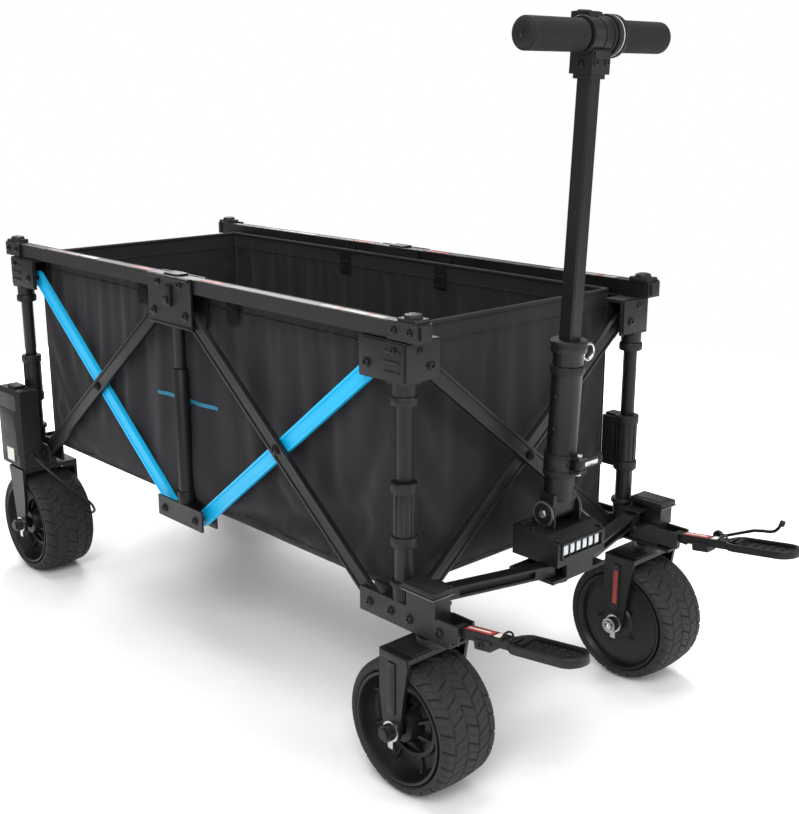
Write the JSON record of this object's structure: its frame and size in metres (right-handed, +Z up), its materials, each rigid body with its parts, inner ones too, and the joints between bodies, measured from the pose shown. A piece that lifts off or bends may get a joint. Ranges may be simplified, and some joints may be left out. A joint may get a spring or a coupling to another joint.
{
  "type": "folding beach cart",
  "caption": "Collapsible fabric wagon on a scissor frame with wide balloon wheels, front casters, a telescoping tee handle with a thumb throttle, and brake pedals.",
  "frame": {"origin": "middle of the overall box at ground level", "axes": "+X towards the pulling handle, +Y to the cart's left, +Z up"},
  "size_m": [1.4828, 0.652, 1.0561],
  "materials": {
    "black_metal": "satin black powder coat",
    "blue_metal": "bright blue powder coat",
    "black_plastic": "fine grained black moulding",
    "tyre_rubber": "matt",
    "foam_grip": "textured foam",
    "basket_cloth": "woven polyester",
    "lead_jacket": "smooth black jacket",
    "zinc": "zinc plated"
  },
  "bodies": {
    "bottom_hub_right": {"bottom_hub_right": "black_metal"},
    "floor_right": {"basket_floor_right": "basket_cloth"},
    "top_hub_right": {"top_hub_right": "black_plastic", "basket_wall_right": "basket_cloth"},
    "blue_strut_front_right": {"blue_strut_front_right": "blue_metal"},
    "black_strut_front_right": {"black_strut_front_right": "black_metal"},
    "top_corner_front_right": {"top_corner_front_right": "black_plastic", "basket_wall_front": "basket_cloth"},
    "rail_front_right": {"rail_front_right": "black_metal"},
    "lower_corner_front_right": {"lower_corner_front_right": "black_metal"},
    "wheel_front_right": {"tyre_front_right": "tyre_rubber", "rim_front_right": "black_plastic"},
    "blue_strut_rear_right": {"blue_strut_rear_right": "blue_metal"},
    "black_strut_rear_right": {"black_strut_rear_right": "black_metal"},
    "top_corner_rear_right": {"top_corner_rear_right": "black_plastic", "basket_wall_rear": "basket_cloth"},
    "rail_rear_right": {"rail_rear_right": "black_metal"},
    "lower_corner_rear_right": {"lower_corner_rear_right": "black_metal", "battery_box": "black_plastic", "motor_lead": "lead_jacket"},
    "wheel_rear_right": {"tyre_rear_right": "tyre_rubber", "rim_rear_right": "black_plastic"},
    "caster_right": {"caster_fork_right": "black_metal"},
    "crossbar_right": {"crossbar_right": "black_metal"},
    "pedal_right": {"pedal_right": "black_plastic"},
    "bottom_hub_left": {"bottom_hub_left": "black_metal"},
    "floor_left": {"basket_floor_left": "basket_cloth"},
    "top_hub_left": {"top_hub_left": "black_plastic", "basket_wall_left": "basket_cloth"},
    "blue_strut_front_left": {"blue_strut_front_left": "blue_metal"},
    "black_strut_front_left": {"black_strut_front_left": "black_metal"},
    "top_corner_front_left": {"top_corner_front_left": "black_plastic"},
    "rail_front_left": {"rail_front_left": "black_metal"},
    "lower_corner_front_left": {"lower_corner_front_left": "black_metal"},
    "wheel_front_left": {"tyre_front_left": "tyre_rubber", "rim_front_left": "black_plastic"},
    "blue_strut_rear_left": {"blue_strut_rear_left": "blue_metal"},
    "black_strut_rear_left": {"black_strut_rear_left": "black_metal"},
    "top_corner_rear_left": {"top_corner_rear_left": "black_plastic"},
    "rail_rear_left": {"rail_rear_left": "black_metal"},
    "lower_corner_rear_left": {"lower_corner_rear_left": "black_metal"},
    "wheel_rear_left": {"tyre_rear_left": "tyre_rubber", "rim_rear_left": "black_plastic"},
    "caster_left": {"caster_fork_left": "black_metal"},
    "crossbar_left": {"crossbar_left": "black_metal"},
    "pedal_left": {"pedal_left": "black_plastic"},
    "front_strut_falling": {"front_strut_falling": "black_metal"},
    "front_strut_rising": {"front_strut_rising": "black_metal"},
    "rear_strut_falling": {"rear_strut_falling": "black_metal"},
    "rear_strut_rising": {"rear_strut_rising": "black_metal"},
    "hook_lever": {"hook_lever": "black_metal"},
    "centre_block": {"centre_block": "black_plastic"},
    "handle_tube": {"handle_tube": "black_metal"},
    "handle_pole": {"handle_pole": "black_metal", "handle_head": "black_plastic", "grip_right": "foam_grip", "grip_left": "foam_grip"},
    "throttle_lever": {"throttle_lever": "black_plastic"},
    "cam_lever": {"cam_lever": "black_plastic"},
    "pull_pin": {"pull_pin": "zinc"}
  },
  "joints": [
    {"name": "fold", "type": "hinge", "parent": "bottom_hub_right", "child": "blue_strut_front_right", "pos_m": [-0.07186, -0.25, 0.252], "axis": [0, -1, 0], "range_deg": [0, 37.5], "deforming": ["basket_wall_right", "basket_wall_left", "basket_wall_front", "basket_wall_rear", "basket_floor_right", "basket_floor_left"]},
    {"name": "strut_cross_front_right", "type": "hinge", "parent": "blue_strut_front_right", "child": "black_strut_front_right", "pos_m": [0.14814, -0.25, 0.426], "axis": [0, -1, 0], "range_deg": [-75.01, 0]},
    {"name": "lower_corner_front_right_level", "type": "hinge", "parent": "black_strut_front_right", "child": "lower_corner_front_right", "pos_m": [0.36814, -0.25, 0.252], "axis": [0, -1, 0], "range_deg": [0, 37.51]},
    {"name": "top_corner_front_right_level", "type": "hinge", "parent": "blue_strut_front_right", "child": "top_corner_front_right", "pos_m": [0.36814, -0.25, 0.6], "axis": [0, -1, 0], "range_deg": [-37.51, 0]},
    {"name": "top_hub_right_level", "type": "hinge", "parent": "black_strut_front_right", "child": "top_hub_right", "pos_m": [-0.07186, -0.25, 0.6], "axis": [0, -1, 0], "range_deg": [0, 37.51]},
    {"name": "blue_strut_rear_right_swing", "type": "hinge", "parent": "bottom_hub_right", "child": "blue_strut_rear_right", "pos_m": [-0.16386, -0.25, 0.252], "axis": [0, -1, 0], "range_deg": [-37.51, 0]},
    {"name": "strut_cross_rear_right", "type": "hinge", "parent": "blue_strut_rear_right", "child": "black_strut_rear_right", "pos_m": [-0.38386, -0.25, 0.426], "axis": [0, -1, 0], "range_deg": [0, 75.01]},
    {"name": "lower_corner_rear_right_level", "type": "hinge", "parent": "black_strut_rear_right", "child": "lower_corner_rear_right", "pos_m": [-0.60386, -0.25, 0.252], "axis": [0, -1, 0], "range_deg": [-37.51, 0]},
    {"name": "top_corner_rear_right_level", "type": "hinge", "parent": "blue_strut_rear_right", "child": "top_corner_rear_right", "pos_m": [-0.60386, -0.25, 0.6], "axis": [0, -1, 0], "range_deg": [0, 37.51]},
    {"name": "front_strut_falling_swing", "type": "hinge", "parent": "top_corner_front_right", "child": "front_strut_falling", "pos_m": [0.42214, -0.22, 0.6], "axis": [1, 0, 0], "range_deg": [-37.51, 0]},
    {"name": "front_strut_rising_swing", "type": "hinge", "parent": "lower_corner_front_right", "child": "front_strut_rising", "pos_m": [0.42214, -0.22, 0.252], "axis": [1, 0, 0], "range_deg": [0, 37.51]},
    {"name": "lower_corner_front_left_level", "type": "hinge", "parent": "front_strut_falling", "child": "lower_corner_front_left", "pos_m": [0.42214, 0.22, 0.252], "axis": [1, 0, 0], "range_deg": [0, 37.51]},
    {"name": "top_corner_front_left_level", "type": "hinge", "parent": "front_strut_rising", "child": "top_corner_front_left", "pos_m": [0.42214, 0.22, 0.6], "axis": [1, 0, 0], "range_deg": [-37.51, 0]},
    {"name": "black_strut_front_left_swing", "type": "hinge", "parent": "lower_corner_front_left", "child": "black_strut_front_left", "pos_m": [0.36814, 0.25, 0.252], "axis": [0, -1, 0], "range_deg": [-37.51, 0]},
    {"name": "strut_cross_front_left", "type": "hinge", "parent": "black_strut_front_left", "child": "blue_strut_front_left", "pos_m": [0.14814, 0.25, 0.426], "axis": [0, -1, 0], "range_deg": [0, 75.01]},
    {"name": "bottom_hub_left_level", "type": "hinge", "parent": "blue_strut_front_left", "child": "bottom_hub_left", "pos_m": [-0.07186, 0.25, 0.252], "axis": [0, -1, 0], "range_deg": [-37.51, 0]},
    {"name": "top_hub_left_level", "type": "hinge", "parent": "black_strut_front_left", "child": "top_hub_left", "pos_m": [-0.07186, 0.25, 0.6], "axis": [0, -1, 0], "range_deg": [0, 37.51]},
    {"name": "blue_strut_rear_left_swing", "type": "hinge", "parent": "bottom_hub_left", "child": "blue_strut_rear_left", "pos_m": [-0.16386, 0.25, 0.252], "axis": [0, -1, 0], "range_deg": [-37.51, 0]},
    {"name": "strut_cross_rear_left", "type": "hinge", "parent": "blue_strut_rear_left", "child": "black_strut_rear_left", "pos_m": [-0.38386, 0.25, 0.426], "axis": [0, -1, 0], "range_deg": [0, 75.01]},
    {"name": "lower_corner_rear_left_level", "type": "hinge", "parent": "black_strut_rear_left", "child": "lower_corner_rear_left", "pos_m": [-0.60386, 0.25, 0.252], "axis": [0, -1, 0], "range_deg": [-37.51, 0]},
    {"name": "top_corner_rear_left_level", "type": "hinge", "parent": "blue_strut_rear_left", "child": "top_corner_rear_left", "pos_m": [-0.60386, 0.25, 0.6], "axis": [0, -1, 0], "range_deg": [0, 37.51]},
    {"name": "rear_strut_falling_swing", "type": "hinge", "parent": "top_corner_rear_right", "child": "rear_strut_falling", "pos_m": [-0.65786, -0.22, 0.6], "axis": [1, 0, 0], "range_deg": [-37.51, 0]},
    {"name": "rear_strut_rising_swing", "type": "hinge", "parent": "lower_corner_rear_right", "child": "rear_strut_rising", "pos_m": [-0.65786, -0.22, 0.252], "axis": [1, 0, 0], "range_deg": [0, 37.51]},
    {"name": "floor_right_lift", "type": "hinge", "parent": "bottom_hub_right", "child": "floor_right", "pos_m": [-0.11786, -0.228, 0.262], "axis": [1, 0, 0], "range_deg": [0, 69.01]},
    {"name": "floor_left_lift", "type": "hinge", "parent": "bottom_hub_left", "child": "floor_left", "pos_m": [-0.11786, 0.228, 0.262], "axis": [1, 0, 0], "range_deg": [-69.01, 0]},
    {"name": "rail_front_right_lift", "type": "hinge", "parent": "top_hub_right", "child": "rail_front_right", "pos_m": [-0.08586, -0.25, 0.6495], "axis": [0, -1, 0], "range_deg": [0, 75.01]},
    {"name": "rail_rear_right_lift", "type": "hinge", "parent": "top_hub_right", "child": "rail_rear_right", "pos_m": [-0.14986, -0.25, 0.6495], "axis": [0, -1, 0], "range_deg": [-75.01, 0]},
    {"name": "rail_front_left_lift", "type": "hinge", "parent": "top_hub_left", "child": "rail_front_left", "pos_m": [-0.08586, 0.25, 0.6495], "axis": [0, -1, 0], "range_deg": [0, 75.01]},
    {"name": "rail_rear_left_lift", "type": "hinge", "parent": "top_hub_left", "child": "rail_rear_left", "pos_m": [-0.14986, 0.25, 0.6495], "axis": [0, -1, 0], "range_deg": [-75.01, 0]},
    {"name": "crossbar_right_swing", "type": "hinge", "parent": "lower_corner_front_right", "child": "crossbar_right", "pos_m": [0.46214, -0.225, 0.28], "axis": [0, 0, 1], "range_deg": [-66.24, 0]},
    {"name": "centre_block_square", "type": "hinge", "parent": "crossbar_right", "child": "centre_block", "pos_m": [0.51014, -0.045, 0.28], "axis": [0, 0, 1], "range_deg": [0, 66.24]},
    {"name": "crossbar_left_swing", "type": "hinge", "parent": "lower_corner_front_left", "child": "crossbar_left", "pos_m": [0.46214, 0.225, 0.28], "axis": [0, 0, 1], "range_deg": [0, 66.24]},
    {"name": "caster_right_swivel", "type": "hinge", "parent": "lower_corner_front_right", "child": "caster_right", "pos_m": [0.47614, -0.25, 0.225], "axis": [0, 0, 1], "continuous": true},
    {"name": "wheel_front_right_spin", "type": "hinge", "parent": "caster_right", "child": "wheel_front_right", "pos_m": [0.45914, -0.25, 0.1015], "axis": [0, 1, 0], "continuous": true},
    {"name": "wheel_rear_right_spin", "type": "hinge", "parent": "lower_corner_rear_right", "child": "wheel_rear_right", "pos_m": [-0.63986, -0.25, 0.1015], "axis": [0, 1, 0], "continuous": true},
    {"name": "pedal_right_press", "type": "hinge", "parent": "lower_corner_front_right", "child": "pedal_right", "pos_m": [0.53214, -0.25, 0.258], "axis": [0, 1, 0], "range_deg": [0, 18], "stiffness_Nm_per_rad": 6, "springref_deg": -12},
    {"name": "caster_left_swivel", "type": "hinge", "parent": "lower_corner_front_left", "child": "caster_left", "pos_m": [0.47614, 0.25, 0.225], "axis": [0, 0, 1], "continuous": true},
    {"name": "wheel_front_left_spin", "type": "hinge", "parent": "caster_left", "child": "wheel_front_left", "pos_m": [0.45914, 0.25, 0.1015], "axis": [0, 1, 0], "continuous": true},
    {"name": "wheel_rear_left_spin", "type": "hinge", "parent": "lower_corner_rear_left", "child": "wheel_rear_left", "pos_m": [-0.63986, 0.25, 0.1015], "axis": [0, 1, 0], "continuous": true},
    {"name": "pedal_left_press", "type": "hinge", "parent": "lower_corner_front_left", "child": "pedal_left", "pos_m": [0.53214, 0.25, 0.258], "axis": [0, 1, 0], "range_deg": [0, 18], "stiffness_Nm_per_rad": 6, "springref_deg": -12},
    {"name": "hook_lever_lift", "type": "hinge", "parent": "pedal_left", "child": "hook_lever", "pos_m": [0.58916, 0.25, 0.26904], "axis": [0, -1, 0], "range_deg": [0, 30]},
    {"name": "handle_tilt", "type": "hinge", "parent": "centre_block", "child": "handle_tube", "pos_m": [0.48614, 0, 0.356], "axis": [0, 1, 0], "range_deg": [-5, 80]},
    {"name": "handle_height", "type": "slide", "parent": "handle_tube", "child": "handle_pole", "axis": [0.0436, 0, 0.999], "range_m": [-0.19, 0]},
    {"name": "throttle_press", "type": "hinge", "parent": "handle_pole", "child": "throttle_lever", "pos_m": [0.4814, 0, 1.02685], "axis": [0, -1, 0], "range_deg": [0, 22], "stiffness_Nm_per_rad": 0.08, "springref_deg": -17.19},
    {"name": "cam_lever_open", "type": "hinge", "parent": "handle_tube", "child": "cam_lever", "pos_m": [0.52251, 0, 0.43249], "axis": [0.0436, 0, 0.999], "range_deg": [-95, 0]},
    {"name": "height_pin_pull", "type": "slide", "parent": "handle_tube", "child": "pull_pin", "axis": [0, 1, 0], "range_m": [0, 0.007], "stiffness_N_per_m": 600, "springref_m": -0.01}
  ],
  "couplings": [
    {"joint": "strut_cross_front_right", "follows": "fold", "ratio": -2},
    {"joint": "lower_corner_front_right_level", "follows": "fold", "ratio": 1},
    {"joint": "top_corner_front_right_level", "follows": "fold", "ratio": -1},
    {"joint": "top_hub_right_level", "follows": "fold", "ratio": 1},
    {"joint": "blue_strut_rear_right_swing", "follows": "fold", "ratio": -1},
    {"joint": "strut_cross_rear_right", "follows": "fold", "ratio": 2},
    {"joint": "lower_corner_rear_right_level", "follows": "fold", "ratio": -1},
    {"joint": "top_corner_rear_right_level", "follows": "fold", "ratio": 1},
    {"joint": "front_strut_falling_swing", "follows": "fold", "ratio": -1},
    {"joint": "front_strut_rising_swing", "follows": "fold", "ratio": 1},
    {"joint": "lower_corner_front_left_level", "follows": "fold", "ratio": 1},
    {"joint": "top_corner_front_left_level", "follows": "fold", "ratio": -1},
    {"joint": "black_strut_front_left_swing", "follows": "fold", "ratio": -1},
    {"joint": "strut_cross_front_left", "follows": "fold", "ratio": 2},
    {"joint": "bottom_hub_left_level", "follows": "fold", "ratio": -1},
    {"joint": "top_hub_left_level", "follows": "fold", "ratio": 1},
    {"joint": "blue_strut_rear_left_swing", "follows": "fold", "ratio": -1},
    {"joint": "strut_cross_rear_left", "follows": "fold", "ratio": 2},
    {"joint": "lower_corner_rear_left_level", "follows": "fold", "ratio": -1},
    {"joint": "top_corner_rear_left_level", "follows": "fold", "ratio": 1},
    {"joint": "rear_strut_falling_swing", "follows": "fold", "ratio": -1},
    {"joint": "rear_strut_rising_swing", "follows": "fold", "ratio": 1},
    {"joint": "floor_right_lift", "follows": "fold", "ratio": 1.84},
    {"joint": "floor_left_lift", "follows": "fold", "ratio": -1.84},
    {"joint": "rail_front_right_lift", "follows": "fold", "ratio": 2},
    {"joint": "rail_rear_right_lift", "follows": "fold", "ratio": -2},
    {"joint": "rail_front_left_lift", "follows": "fold", "ratio": 2},
    {"joint": "rail_rear_left_lift", "follows": "fold", "ratio": -2},
    {"joint": "crossbar_right_swing", "follows": "fold", "ratio": -1.7662},
    {"joint": "centre_block_square", "follows": "fold", "ratio": 1.7662},
    {"joint": "crossbar_left_swing", "follows": "fold", "ratio": 1.7662}
  ]
}
